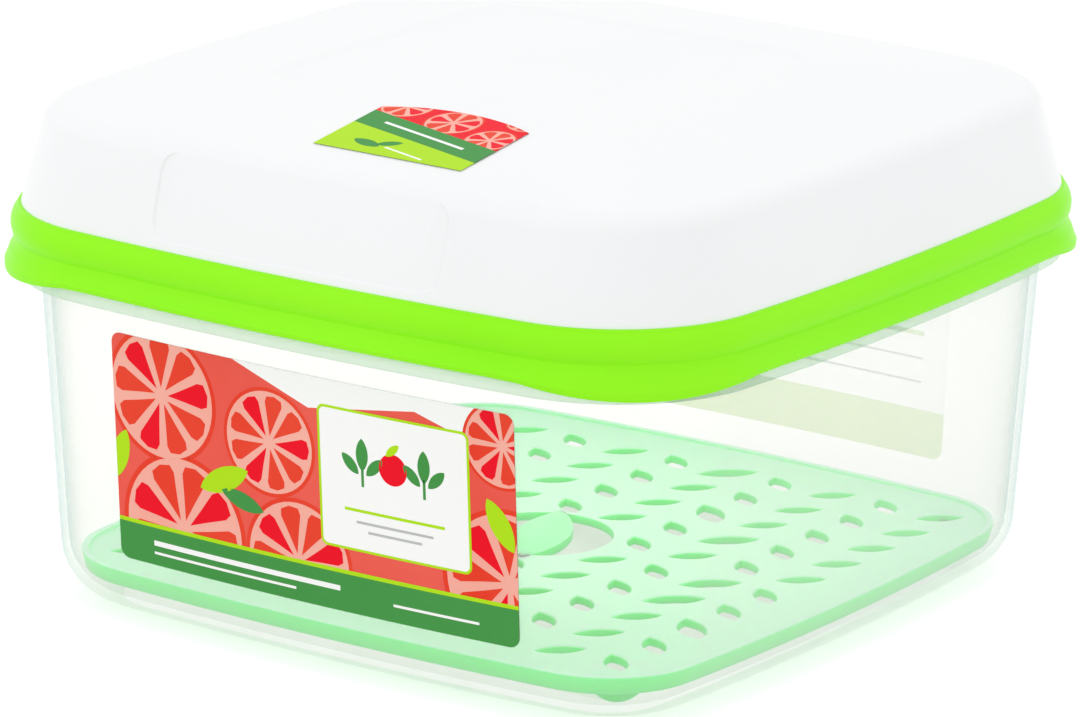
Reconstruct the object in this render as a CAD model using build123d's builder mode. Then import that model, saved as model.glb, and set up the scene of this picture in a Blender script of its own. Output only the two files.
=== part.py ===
from build123d import *
import os
from math import atan2, cos, degrees, radians, sin, sqrt, tan

# Square produce keeper: a clear drafted tub, a slotted drain tray standing on its floor, and a
# domed white lid whose soft green band seals over the tub's rim. Millimetres, +Z up. The origin
# is the middle of the underside, and the wall with the large front label faces -Y.

# Plan shared by every piece: a square with slowly bowed sides and round corners
band_half = 100.0  # half the overall width, at the flare of the band
band_corner = 40.0  # corner radius there; every other outline runs parallel to this one
bow_radius = 800.0  # radius of the four bowed sides
core_inset = 38.0  # inside this the tub and the dome are filled by a plain core
core_half = band_half - core_inset

# Tub; every half width is the band's less a named inset, so that all outlines follow it
tub_top_inset = 7.4
tub_base_inset = 13.0
tub_top_half = band_half - tub_top_inset
tub_base_half = band_half - tub_base_inset
tub_height = 86.0
tub_wall = 1.8
tub_floor = 2.4
base_radius = 14.0  # large round between wall and underside
base_panel_inset = 36.0  # raised middle of the underside, inside its standing ring
base_panel_half = band_half - base_panel_inset
base_panel_depth = 0.8
rim_chamfer = 0.4
flange_inset = 3.3  # out-turned flange below the rim, with a down-turned lip
flange_half = band_half - flange_inset
flange_top = 78.6
flange_bottom = 75.4
flange_plate = 1.6
flange_lip = 1.4

# Drain tray
tray_inset = 16.6
tray_half = band_half - tray_inset
tray_draft = 1.0  # how much the skirt draws in at its lower edge
tray_top = 11.2
tray_skirt_bottom = 7.0
tray_plate_top = 10.5
tray_plate = 2.0
tray_wall = 1.8
slot_count = 10
slot_margin = 17.7  # from the tray's edge to the middle of the outer slots
slot_pitch = 2 * (tray_half - slot_margin) / (slot_count - 1)
slot_length = 11.5
slot_width = 5.2
large_slot_length = 14.6
large_slot_width = 6.4
large_places = [(5, 9), (6, 7), (7, 6), (8, 4), (8, 3), (9, 2)]  # column, row; half turned as well
grip_radius = 16.5  # round finger opening in the middle of the tray
leaf_width = 13.0  # leaf-shaped lift grip that bridges it
leaf_turn = 110.5  # its direction in plan
leaf_rise = 1.6
foot_radius = 6.7
foot_thickness = 2.0
foot_margin = 16.2  # from the tray's edge, along X and along Y
foot_place = tray_half - foot_margin

# Lid band
plug_inner_inset = 11.4
plug_outer_inset = 9.9  # enters the tub
channel_inset = 6.7  # outer side of the channel that sits on the rim
lip_inner_inset = 2.0
plug_inner_half = band_half - plug_inner_inset
plug_outer_half = band_half - plug_outer_inset
channel_half = band_half - channel_inset
lip_inner_half = band_half - lip_inner_inset
plug_bottom = 82.6
lip_bottom = 79.4
lip_set_in = 0.4  # lower edge of the skirt inside its widest line
flare_height = 80.4
groove_inset = 2.2
groove_half = band_half - groove_inset
groove_height = 84.4
bulge_inset = 1.45
bulge_half = band_half - bulge_inset
bulge_height = 87.8
seam_height = 91.7  # top edge of the band, where the white dome starts
band_top_inset = 3.0
band_top_half = band_half - band_top_inset
foot_step = 0.3  # the dome's foot is set in this much below the seam
pocket_clearance = 0.15
ledge_height = 88.7  # ledge inside the band that carries the dome
web_inset = 5.6  # inner side of the skirt's web, at its foot
web_half = band_half - web_inset
web_height = 83.8
groove_low_inset = 1.5  # where the groove turns out into the flare
groove_low_half = band_half - groove_low_inset
groove_low_height = 82.2
tab_depth = 2.6  # how far the skirt drops at each corner
tab_half_width = 27.0
tab_wall = 1.4

# Lid dome
seam_step = 0.8  # the dome stands in this much from the band's top edge
seam_half = band_top_half - seam_step
dome_draft = 15.2
dome_wall = 2.0
shoulder_radius = 6.0
crown_slope = 7.5
crown_inset = 51.5
crown_half = band_half - crown_inset
crown_corner = 14.0
crown_height = 119.8
recess_depth = 0.9  # shallow stacking recess in the top
recess_step = 3.0
panel_width = 77.0  # faint sunk panel on the front slope
panel_bottom = 93.4
panel_top = 113.2
panel_corner = 5.0
panel_depth = 0.45
vent_inset = 37.5
vent_centre = (12.0, vent_inset - band_half)
vent_hole = 1.6
vent_pitch = 4.0
vent_count = 3
filter_radius = 8.5
filter_thickness = 0.4
filter_gap = 0.03  # depth of the weld bead above the flat disc

# Labels
label_thickness = 0.15
label_glue = 0.08  # depth of the adhesive under each film
front_label_width = 108.0
label_bottom = 16.8
label_top = 69.4
label_corner = 2.5
front_label_centre = 1.0
back_label_width = 106.0
lid_label_width = 39.0
lid_label_length = 29.0
lid_label_arch = 4.0

os.makedirs("parts", exist_ok=True)


def outline(half, corner=None):
    """Plan of the body at a given half width; corners stay parallel to the band's unless given."""
    inset = band_half - half
    radius = bow_radius - inset
    corner = band_corner - inset if corner is None else corner
    side_centre = half - radius
    reach = radius - corner
    corner_centre = (side_centre + sqrt(2 * reach**2 - side_centre**2)) / 2
    lean = degrees(atan2(corner_centre, corner_centre - side_centre))
    with BuildSketch() as plan:
        with BuildLine():
            for turn in (0, 90, 180, 270):
                side = Vector(side_centre, 0).rotate(Axis.Z, turn)
                corner_point = Vector(corner_centre, corner_centre).rotate(Axis.Z, turn)
                CenterArc(side, radius, turn - lean, 2 * lean)
                CenterArc(corner_point, corner, turn + lean, 90 - 2 * lean)
        make_face()
    return plan.sketch


def slab(half, bottom, top, corner=None):
    """Straight-sided block of the shared plan between two heights."""
    with BuildPart() as block:
        with BuildSketch(Plane.XY.offset(bottom)):
            add(outline(half, corner))
        extrude(amount=top - bottom)
    return block.part


def tub_half_at(height, inset):
    """Half width of the tub's drafted wall at a height."""
    return tub_base_half + (tub_top_half - tub_base_half) * height / tub_height - inset


def tub_form(inset, bottom, round_radius):
    """Drafted body of the tub from a height up to its rim: a rounded section carried round a core."""
    base = tub_half_at(bottom, inset)
    with BuildPart() as form:
        with BuildLine() as path:
            add(outline(band_half).wire())
        with BuildSketch(Plane.XZ) as section:
            with BuildLine():
                Polyline(
                    (core_half, bottom), (base, bottom),
                    (tub_half_at(tub_height, inset), tub_height), (core_half, tub_height), close=True,
                )
            make_face()
            if round_radius:
                fillet(section.vertices().sort_by_distance((base, bottom))[0], round_radius)
        sweep(path=path.wire())
        add(slab(core_half, bottom, tub_height))
    return form.part


def dome_form(inset):
    """The dome's outer form, or one parallel to it, from the seam up to the crown."""
    wall_tan = tan(radians(dome_draft))
    crown_tan = tan(radians(crown_slope))
    foot = seam_half - inset / cos(radians(dome_draft))
    top = crown_height - inset / cos(radians(crown_slope))
    rise = top - seam_height + crown_half * crown_tan
    shoulder = (foot - rise * wall_tan) / (1 - crown_tan * wall_tan)
    shoulder_height = seam_height + (foot - shoulder) / wall_tan
    core_height = top - (core_half - crown_half) * crown_tan
    with BuildPart() as form:
        with BuildLine() as path:
            add(outline(band_half).wire())
        with BuildSketch(Plane.XZ) as section:
            with BuildLine():
                Polyline(
                    (core_half, seam_height), (foot, seam_height), (shoulder, shoulder_height),
                    (core_half, core_height), close=True,
                )
            make_face()
            shoulder_point = section.vertices().sort_by_distance((shoulder, shoulder_height))[0]
            fillet(shoulder_point, shoulder_radius - inset)
        sweep(path=path.wire())
        add(slab(core_half, seam_height, core_height))
        with BuildSketch(Plane.XY.offset(core_height)):
            add(outline(core_half))
        with BuildSketch(Plane.XY.offset(top)):
            add(outline(crown_half, crown_corner))
        loft(ruled=True)
    return form.part


def leaf_slot(length, width):
    """Pointed slot with six straight sides, along X."""
    shoulder = length / 5
    with BuildSketch() as shape:
        with BuildLine():
            Polyline(
                (-length / 2, 0), (-shoulder, width / 2), (shoulder, width / 2),
                (length / 2, 0), (shoulder, -width / 2), (-shoulder, -width / 2), close=True,
            )
        make_face()
    return shape.sketch


def lens(length, width):
    """Pointed leaf shape between two equal arcs, along X."""
    with BuildSketch() as shape:
        with BuildLine():
            ThreePointArc((-length / 2, 0), (0, width / 2), (length / 2, 0))
            ThreePointArc((length / 2, 0), (0, -width / 2), (-length / 2, 0))
        make_face()
    return shape.sketch


# Tub: flange first, then the drafted body through it, then the cavity
with BuildPart() as tub:
    add(slab(flange_half, flange_bottom, flange_top))
    add(slab(flange_half - flange_lip, flange_bottom, flange_top - flange_plate), mode=Mode.SUBTRACT)
    add(tub_form(0, 0, base_radius))
    add(tub_form(tub_wall, tub_floor, base_radius - tub_wall), mode=Mode.SUBTRACT)
    add(slab(base_panel_half, 0, base_panel_depth), mode=Mode.SUBTRACT)
    chamfer(tub.edges().group_by(Axis.Z)[-1], rim_chamfer)
tub.part.label = "tub"
export_step(tub.part, "parts/tub.step")

# Leaf-shaped lift grip, roofed along its length, that bridges the tray's finger opening
leaf_length = 2 * grip_radius + 2 * tray_plate
leaf_direction = Vector(1, 0, 0).rotate(Axis.Z, leaf_turn)
leaf_side = leaf_direction.cross(Vector(0, 0, 1))
with BuildPart() as leaf:
    with BuildSketch(Plane.XY.offset(tray_plate_top - tray_plate)):
        with Locations(Location((0, 0, 0), (0, 0, leaf_turn))):
            add(lens(leaf_length, leaf_width))
    extrude(amount=tray_plate + leaf_rise)
    with BuildSketch(Plane(origin=(0, 0, tray_plate_top), z_dir=leaf_direction, x_dir=leaf_side)):
        with BuildLine():
            Polyline(
                (-leaf_width, -2 * tray_plate), (-leaf_width, -leaf_rise), (0, leaf_rise),
                (leaf_width, -leaf_rise), (leaf_width, -2 * tray_plate), close=True,
            )
        make_face()
    extrude(amount=leaf_length, both=True, mode=Mode.INTERSECT)

# Drain tray: skirted plate with a low rim, feet, leaf slots in a herringbone and a lift grip
foot_bottom = tub_floor
foot_top = tray_plate_top - tray_plate
foot_cut = 4 * foot_radius
with BuildPart() as drain_tray:
    with BuildSketch(Plane.XY.offset(tray_skirt_bottom)):
        add(outline(tray_half - tray_draft))
    with BuildSketch(Plane.XY.offset(tray_top)):
        add(outline(tray_half))
    loft(ruled=True)
    add(slab(tray_half - tray_wall, tray_plate_top, tray_top), mode=Mode.SUBTRACT)
    add(slab(tray_half - tray_draft - tray_wall, tray_skirt_bottom, foot_top), mode=Mode.SUBTRACT)
    # half-disc feet, one under each corner, square to the diagonal
    for side_x in (-1, 1):
        for side_y in (-1, 1):
            foot_plane = Plane(
                origin=(side_x * foot_place, side_y * foot_place, 0),
                x_dir=(-side_y, side_x, 0),
                z_dir=(side_x, side_y, 0),
            )
            with BuildSketch(foot_plane):
                with Locations((0, foot_bottom + foot_radius)):
                    Circle(foot_radius)
                with Locations((0, foot_top)):
                    Rectangle(foot_cut, foot_cut, align=(Align.CENTER, Align.MIN), mode=Mode.SUBTRACT)
            extrude(amount=foot_thickness / 2, both=True)
    # slots lean one way in the even columns and the other way in the odd ones, and swap at the middle
    with BuildSketch(Plane.XY.offset(tray_plate_top)):
        for column in range(slot_count):
            for row in range(slot_count):
                place_x = (column - (slot_count - 1) / 2) * slot_pitch
                place_y = (row - (slot_count - 1) / 2) * slot_pitch
                if max(abs(place_x), abs(place_y)) < slot_pitch:
                    continue
                opposite = (slot_count - 1 - column, slot_count - 1 - row)
                large = (column, row) in large_places or opposite in large_places
                length = large_slot_length if large else slot_length
                width = large_slot_width if large else slot_width
                leans_left = (column % 2 == 0) == (place_y > 0)
                with Locations(Location((place_x, place_y, 0), (0, 0, -45 if leans_left else 45))):
                    add(leaf_slot(length, width))
    extrude(amount=-tray_plate, mode=Mode.SUBTRACT)
    with BuildSketch(Plane.XY.offset(tray_plate_top)):
        Circle(grip_radius)
    extrude(amount=-tray_plate, mode=Mode.SUBTRACT)
    add(leaf.part)
drain_tray.part.label = "drain_tray"
export_step(drain_tray.part, "parts/drain_tray.step")

foot_half = seam_half - foot_step
pocket_half = foot_half + pocket_clearance
lip_outer_half = band_half - lip_set_in
tab_start = (lip_bottom + flare_height) / 2
tab_bottom = lip_bottom - tab_depth

# Arched windows that leave a lip only round the four corners
with BuildPart() as corner_windows:
    for turn in (45, 135, 225, 315):
        diagonal = Vector(1, 0, 0).rotate(Axis.Z, turn)
        with BuildSketch(Plane(origin=(0, 0, 0), x_dir=diagonal.rotate(Axis.Z, 90), z_dir=diagonal)):
            with BuildLine():
                ThreePointArc(
                    (-tab_half_width, tab_start), (0, tab_bottom), (tab_half_width, tab_start)
                )
                Polyline(
                    (tab_half_width, tab_start), (tab_half_width, flare_height),
                    (-tab_half_width, flare_height), (-tab_half_width, tab_start),
                )
            make_face()
        extrude(amount=2 * band_half)
with BuildPart() as corner_tabs:
    add(slab(lip_outer_half, tab_bottom, flare_height))
    add(slab(lip_outer_half - tab_wall, tab_bottom, flare_height), mode=Mode.SUBTRACT)
    add(corner_windows.part, mode=Mode.INTERSECT)

# Lid band: one section carried round the plan, and a deeper lip at each corner
with BuildPart() as lid_band:
    with BuildLine() as band_path:
        add(outline(band_half).wire())
    with BuildSketch(Plane.XZ):
        with BuildLine():
            Polyline(
                (band_half, flare_height), (lip_outer_half, lip_bottom), (lip_inner_half, lip_bottom),
                (web_half, web_height), (channel_half, tub_height),
                (plug_outer_half, tub_height), (plug_outer_half, plug_bottom),
                (plug_inner_half, plug_bottom), (plug_inner_half, ledge_height),
                (pocket_half, ledge_height), (pocket_half, seam_height),
                (band_top_half, seam_height),
            )
            ThreePointArc(
                (band_top_half, seam_height), (bulge_half, bulge_height), (groove_half, groove_height)
            )
            ThreePointArc(
                (groove_half, groove_height), (groove_low_half, groove_low_height), (band_half, flare_height)
            )
        make_face()
    sweep(path=band_path.wire())
    add(corner_tabs.part)
lid_band.part.label = "lid_band"
export_step(lid_band.part, "parts/lid_band.step")

# Lid dome: thin shell with a foot in the band's pocket, a sunk panel and a stacking recess
recess_floor = crown_height - recess_depth
with BuildPart() as panel_prism:
    with BuildSketch(Plane.XZ.offset(plug_inner_half - base_radius)):
        with Locations((0, (panel_bottom + panel_top) / 2)):
            RectangleRounded(panel_width, panel_top - panel_bottom, panel_corner)
    extrude(amount=band_half)
with BuildPart() as panel_recess:
    add(dome_form(0))
    add(dome_form(panel_depth), mode=Mode.SUBTRACT)
    add(panel_prism.part, mode=Mode.INTERSECT)
with BuildPart() as lid_dome:
    add(dome_form(0))
    add(slab(foot_half, ledge_height, seam_height))
    add(slab(foot_half - dome_wall, ledge_height, seam_height), mode=Mode.SUBTRACT)
    add(dome_form(dome_wall), mode=Mode.SUBTRACT)
    # the recess keeps the wall's thickness below it
    add(slab(crown_half, recess_floor - dome_wall, recess_floor, crown_corner))
    with BuildSketch(Plane.XY.offset(recess_floor)):
        add(outline(crown_half - recess_step, crown_corner - recess_step))
    with BuildSketch(Plane.XY.offset(crown_height)):
        add(outline(crown_half, crown_corner))
    loft(ruled=True, mode=Mode.SUBTRACT)
    add(panel_recess.part, mode=Mode.SUBTRACT)
    with Locations((vent_centre[0], vent_centre[1], crown_height)):
        with GridLocations(vent_pitch, vent_pitch, vent_count, vent_count):
            Hole(vent_hole / 2, depth=crown_height - seam_height)
lid_dome.part.label = "lid_dome"
export_step(lid_dome.part, "parts/lid_dome.step")

# Vent filter: thin porous disc welded under the vent holes, in line with the crown's slope
vent_drop = (-vent_centre[1] - crown_half) * tan(radians(crown_slope))
vent_underside = crown_height - dome_wall / cos(radians(crown_slope)) - vent_drop
with BuildPart() as vent_filter:
    with BuildSketch(Plane((*vent_centre, vent_underside - filter_gap)).rotated((crown_slope, 0, 0))):
        Circle(filter_radius)
    extrude(amount=-filter_thickness)
vent_filter.part.label = "vent_filter"
export_step(vent_filter.part, "parts/vent_filter.step")

# Labels: thin films that follow the walls they are stuck to
label_middle = (label_bottom + label_top) / 2
for name, width, centre, facing in (
    ("front_label", front_label_width, front_label_centre, -1),
    ("back_label", back_label_width, 0, 1),
):
    with BuildPart() as label_prism:
        with BuildSketch(Plane.XZ):
            with Locations((centre, label_middle)):
                RectangleRounded(width, label_top - label_bottom, label_corner)
        extrude(amount=-facing * band_half)
    with BuildPart() as wall_label:
        add(tub_form(-label_glue - label_thickness, label_bottom, 0))
        add(tub_form(-label_glue, label_bottom, 0), mode=Mode.SUBTRACT)
        add(label_prism.part, mode=Mode.INTERSECT)
    wall_label.part.label = name
    export_step(wall_label.part, "parts/" + name + ".step")

with BuildPart() as sticker_prism:
    with BuildSketch(Plane.XY.offset(seam_height)):
        with BuildLine():
            side = lid_label_width / 2
            front = vent_centre[1] - lid_label_length / 2
            back = vent_centre[1] + lid_label_length / 2
            Polyline(
                (vent_centre[0] - side, back - lid_label_arch), (vent_centre[0] - side, front),
                (vent_centre[0] + side, front), (vent_centre[0] + side, back - lid_label_arch),
            )
            ThreePointArc(
                (vent_centre[0] + side, back - lid_label_arch), (vent_centre[0], back),
                (vent_centre[0] - side, back - lid_label_arch),
            )
        make_face()
    extrude(amount=crown_height)
with BuildPart() as lid_label:
    add(dome_form(-label_glue - label_thickness))
    add(dome_form(-label_glue), mode=Mode.SUBTRACT)
    add(sticker_prism.part, mode=Mode.INTERSECT)
lid_label.part.label = "lid_label"
export_step(lid_label.part, "parts/lid_label.step")
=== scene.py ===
import math

import bmesh
import bpy
from mathutils import Matrix, Vector


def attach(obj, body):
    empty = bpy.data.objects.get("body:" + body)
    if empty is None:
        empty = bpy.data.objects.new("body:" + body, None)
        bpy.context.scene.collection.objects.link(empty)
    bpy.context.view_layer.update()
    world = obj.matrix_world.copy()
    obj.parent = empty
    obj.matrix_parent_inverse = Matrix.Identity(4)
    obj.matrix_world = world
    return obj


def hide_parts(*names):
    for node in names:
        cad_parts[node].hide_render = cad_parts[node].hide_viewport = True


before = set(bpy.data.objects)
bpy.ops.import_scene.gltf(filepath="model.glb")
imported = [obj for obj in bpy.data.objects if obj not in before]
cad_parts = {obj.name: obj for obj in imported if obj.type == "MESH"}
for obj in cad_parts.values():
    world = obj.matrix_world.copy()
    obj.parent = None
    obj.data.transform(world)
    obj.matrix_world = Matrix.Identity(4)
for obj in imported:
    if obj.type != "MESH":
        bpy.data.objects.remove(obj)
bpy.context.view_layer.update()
print("frame loaded:", ", ".join(sorted(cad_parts)))

mm = 0.001

# the plan that every piece follows: a square with slowly bowed sides and round corners, in mm
plan = {
    "half": 100.0,
    "corner": 40.0,
    "bow": 800.0,
    "sideSteps": 16,
    "cornerSteps": 24,
}
ringSteps = 4 * (plan["sideSteps"] + plan["cornerSteps"])


def cornerAt(half):
    return max(1.5, plan["corner"] - plan["half"] + half)  # parallel outlines share their corner's middle


def planPoint(place, half, corner=None):
    corner = cornerAt(half) if corner is None else corner
    bow = plan["bow"] - plan["half"] + half
    sideMiddle = half - bow
    reach = bow - corner
    cornerMiddle = (sideMiddle + math.sqrt(2 * reach ** 2 - sideMiddle ** 2)) / 2
    lean = math.atan2(cornerMiddle, cornerMiddle - sideMiddle)
    quarter, step = divmod(place, plan["sideSteps"] + plan["cornerSteps"])
    if step < plan["sideSteps"]:
        angle = lean * (2 * step / plan["sideSteps"] - 1)
        x, y = sideMiddle + bow * math.cos(angle), bow * math.sin(angle)
    else:
        angle = lean + (math.pi / 2 - 2 * lean) * (step - plan["sideSteps"]) / plan["cornerSteps"]
        x, y = cornerMiddle + corner * math.cos(angle), cornerMiddle + corner * math.sin(angle)
    turned = Matrix.Rotation(quarter * math.pi / 2, 2) @ Vector((x, y))
    return Vector((turned.x, turned.y, 0)) * mm


# a section is a list of corners (half width, height, radius); this rounds each corner
def roundedSection(corners, steps=6):
    stations = []
    for i, (half, height, radius) in enumerate(corners):
        here = Vector((half, height))
        if radius <= 0 or i in (0, len(corners) - 1):
            stations.append((half, height))
            continue
        before = (Vector(corners[i - 1][:2]) - here).normalized()
        after = (Vector(corners[i + 1][:2]) - here).normalized()
        between = before.angle(after)
        middle = here + (before + after).normalized() * radius / math.sin(between / 2)
        start = here + before * radius / math.tan(between / 2) - middle
        sweep = math.pi - between
        if before.x * after.y - before.y * after.x > 0:
            sweep = -sweep
        count = max(2, round(steps * abs(sweep) / (math.pi / 2)))
        for k in range(count + 1):
            point = middle + Matrix.Rotation(sweep * k / count, 2) @ start
            stations.append((point.x, point.y))
    return stations


def deselectAll():
    if bpy.context.object and bpy.context.object.mode != "OBJECT":
        bpy.ops.object.mode_set(mode="OBJECT")
    bpy.ops.object.select_all(action="DESELECT")


def makeActive(piece):
    deselectAll()
    piece.select_set(True)
    bpy.context.view_layer.objects.active = piece


def applyPlace(piece):
    makeActive(piece)
    bpy.ops.object.transform_apply(location=True, rotation=True, scale=True)


def applyModifier(piece, kind, **settings):
    makeActive(piece)
    modifier = piece.modifiers.new(kind.title(), kind)
    for key, value in settings.items():
        setattr(modifier, key, value)
    bpy.ops.object.modifier_apply(modifier=modifier.name)


def cutAway(piece, cutter):
    applyModifier(piece, "BOOLEAN", object=cutter, operation="DIFFERENCE", solver="EXACT")
    bpy.data.objects.remove(cutter)


# joins the other parts into the first
def joined(first, *others):
    makeActive(first)
    for part in others:
        part.select_set(True)
    bpy.ops.object.join()
    return first


# a ring of edges is extruded from station to station; dips lowers a station round the ring
def ringShell(name, stations, closed=False, corners=None, dips=None):
    deselectAll()
    bpy.ops.mesh.primitive_circle_add(vertices=ringSteps, radius=plan["half"] * mm)
    piece = bpy.context.object
    piece.name = piece.data.name = name
    ringPlace = piece.data.attributes.new("ringPlace", "INT", "POINT")
    ringPlace.data.foreach_set("value", range(ringSteps))
    bpy.ops.object.mode_set(mode="EDIT")
    bpy.ops.mesh.select_all(action="SELECT")
    for i, (half, height) in enumerate(stations):
        if i:
            bpy.ops.mesh.extrude_edges_move()
        shape = bmesh.from_edit_mesh(piece.data)
        place = shape.verts.layers.int["ringPlace"]
        for vert in shape.verts:
            if vert.select:
                vert.co = planPoint(vert[place], half, corners[i] if corners else None)
                vert.co.z = (height - (dips(vert[place], i) if dips else 0)) * mm
        bmesh.update_edit_mesh(piece.data)
    bpy.ops.mesh.select_all(action="SELECT")
    if closed:
        bpy.ops.mesh.remove_doubles(threshold=0.001 * mm)
    else:
        bpy.ops.mesh.fill_holes(sides=0)
    bpy.ops.mesh.select_all(action="SELECT")
    bpy.ops.mesh.normals_make_consistent(inside=False)
    bpy.ops.object.mode_set(mode="OBJECT")
    piece.data.attributes.remove(piece.data.attributes["ringPlace"])
    return piece


def smooth(piece, degrees=32):
    makeActive(piece)
    bpy.ops.object.shade_smooth_by_angle(angle=math.radians(degrees))


def dress(piece, body, slotName, node, *finishes):
    for finish in finishes:
        piece.data.materials.append(finish)
    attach(piece, body)
    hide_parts(node)


def newMaterial(name):
    material = bpy.data.materials.new(name)
    material.use_nodes = True
    return material, material.node_tree.nodes, material.node_tree.links, material.node_tree.nodes["Principled BSDF"]


def setShader(shader, **values):
    names = {
        "color": "Base Color", "rough": "Roughness", "shine": "Specular IOR Level", "alpha": "Alpha",
        "subsurface": "Subsurface Weight", "depth": "Subsurface Scale", "spread": "Subsurface Radius",
    }
    for key, value in values.items():
        shader.inputs[names[key]].default_value = value


# moulded plastic: two close colours in soft clouds, a fine orange-peel bump, and, when given, a painted side tone
def mouldedPlastic(
    name, colorA, colorB, rough,
    roughSpread=0.05, cloud=18, peel=900, peelDepth=0.00002, glow=0.0, paintedSideTone=None, **extra
):
    material, nodes, links, shader = newMaterial(name)
    where = nodes.new("ShaderNodeTexCoord")
    clouds = nodes.new("ShaderNodeTexNoise")
    clouds.inputs["Scale"].default_value = cloud
    clouds.inputs["Detail"].default_value = 3
    tones = nodes.new("ShaderNodeMix")
    tones.data_type = "RGBA"
    tones.inputs["A"].default_value = (*colorA, 1)
    tones.inputs["B"].default_value = (*colorB, 1)
    links.new(where.outputs["Object"], clouds.inputs["Vector"])
    links.new(clouds.outputs["Fac"], tones.inputs["Factor"])
    if paintedSideTone:  # painted light: faces that turn sideways (slot walls, skirt, feet) get a deeper green that stands in for light passing through the plastic
        direction = nodes.new("ShaderNodeSeparateXYZ")
        links.new(where.outputs["Normal"], direction.inputs["Vector"])
        upness = nodes.new("ShaderNodeMapRange")
        upness.inputs["From Min"].default_value = 0.25
        upness.inputs["From Max"].default_value = 0.85
        links.new(direction.outputs["Z"], upness.inputs["Value"])
        paintedSideMix = nodes.new("ShaderNodeMix")
        paintedSideMix.data_type = "RGBA"
        paintedSideMix.inputs["A"].default_value = (*paintedSideTone, 1)
        links.new(tones.outputs["Result"], paintedSideMix.inputs["B"])
        links.new(upness.outputs["Result"], paintedSideMix.inputs["Factor"])
        tones = paintedSideMix
    links.new(tones.outputs["Result"], shader.inputs["Base Color"])
    roughness = nodes.new("ShaderNodeMapRange")
    roughness.inputs["To Min"].default_value = rough - roughSpread
    roughness.inputs["To Max"].default_value = rough + roughSpread
    links.new(clouds.outputs["Fac"], roughness.inputs["Value"])
    links.new(roughness.outputs["Result"], shader.inputs["Roughness"])
    grain = nodes.new("ShaderNodeTexNoise")
    grain.inputs["Scale"].default_value = peel
    bump = nodes.new("ShaderNodeBump")
    bump.inputs["Strength"].default_value = 0.4
    bump.inputs["Distance"].default_value = peelDepth
    links.new(where.outputs["Object"], grain.inputs["Vector"])
    links.new(grain.outputs["Fac"], bump.inputs["Height"])
    links.new(bump.outputs["Normal"], shader.inputs["Normal"])
    setShader(shader, **extra)
    if glow:  # thin white plastic lets some light through to its other side
        through = nodes.new("ShaderNodeBsdfTranslucent")
        blend = nodes.new("ShaderNodeMixShader")
        blend.inputs["Fac"].default_value = glow
        links.new(tones.outputs["Result"], through.inputs["Color"])
        links.new(shader.outputs["BSDF"], blend.inputs[1])
        links.new(through.outputs["BSDF"], blend.inputs[2])
        links.new(blend.outputs["Shader"], nodes["Material Output"].inputs["Surface"])
    return material


# clear plastic: faintly milky face on, and denser and cooler where the wall is seen edge on
def clearPlastic(name, faceColor, edgeColor, milk, edge, rough, falloff=3.2, shine=0.12):
    material, nodes, links, shader = newMaterial(name)
    where = nodes.new("ShaderNodeTexCoord")
    clouds = nodes.new("ShaderNodeTexNoise")
    clouds.inputs["Scale"].default_value = 14
    roughness = nodes.new("ShaderNodeMapRange")
    roughness.inputs["To Min"].default_value = rough * 0.6
    roughness.inputs["To Max"].default_value = rough * 1.4
    links.new(where.outputs["Object"], clouds.inputs["Vector"])
    links.new(clouds.outputs["Fac"], roughness.inputs["Value"])
    links.new(roughness.outputs["Result"], shader.inputs["Roughness"])
    facing = nodes.new("ShaderNodeLayerWeight")
    facing.inputs["Blend"].default_value = 0.5
    grazing = nodes.new("ShaderNodeMath")
    grazing.operation = "POWER"
    grazing.inputs[1].default_value = falloff
    links.new(facing.outputs["Facing"], grazing.inputs[0])
    direction = nodes.new("ShaderNodeSeparateXYZ")
    links.new(where.outputs["Normal"], direction.inputs["Vector"])
    upright = nodes.new("ShaderNodeMapRange")  # the flat base stays clear
    upright.inputs["From Min"].default_value = 0.15
    upright.inputs["From Max"].default_value = 0.9
    upright.inputs["To Min"].default_value = 1.0
    upright.inputs["To Max"].default_value = 0.15
    flatness = nodes.new("ShaderNodeMath")
    flatness.operation = "ABSOLUTE"
    links.new(direction.outputs["Z"], flatness.inputs[0])
    links.new(flatness.outputs[0], upright.inputs["Value"])
    steep = nodes.new("ShaderNodeMath")
    steep.operation = "MULTIPLY"
    links.new(grazing.outputs[0], steep.inputs[0])
    links.new(upright.outputs["Result"], steep.inputs[1])
    tones = nodes.new("ShaderNodeMix")
    tones.data_type = "RGBA"
    tones.inputs["A"].default_value = (*faceColor, 1)
    tones.inputs["B"].default_value = (*edgeColor, 1)
    links.new(steep.outputs[0], tones.inputs["Factor"])
    links.new(tones.outputs["Result"], shader.inputs["Base Color"])
    density = nodes.new("ShaderNodeMapRange")
    density.inputs["To Min"].default_value = milk
    density.inputs["To Max"].default_value = edge
    links.new(steep.outputs[0], density.inputs["Value"])
    links.new(density.outputs["Result"], shader.inputs["Alpha"])
    setShader(shader, shine=shine)
    return material


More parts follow.
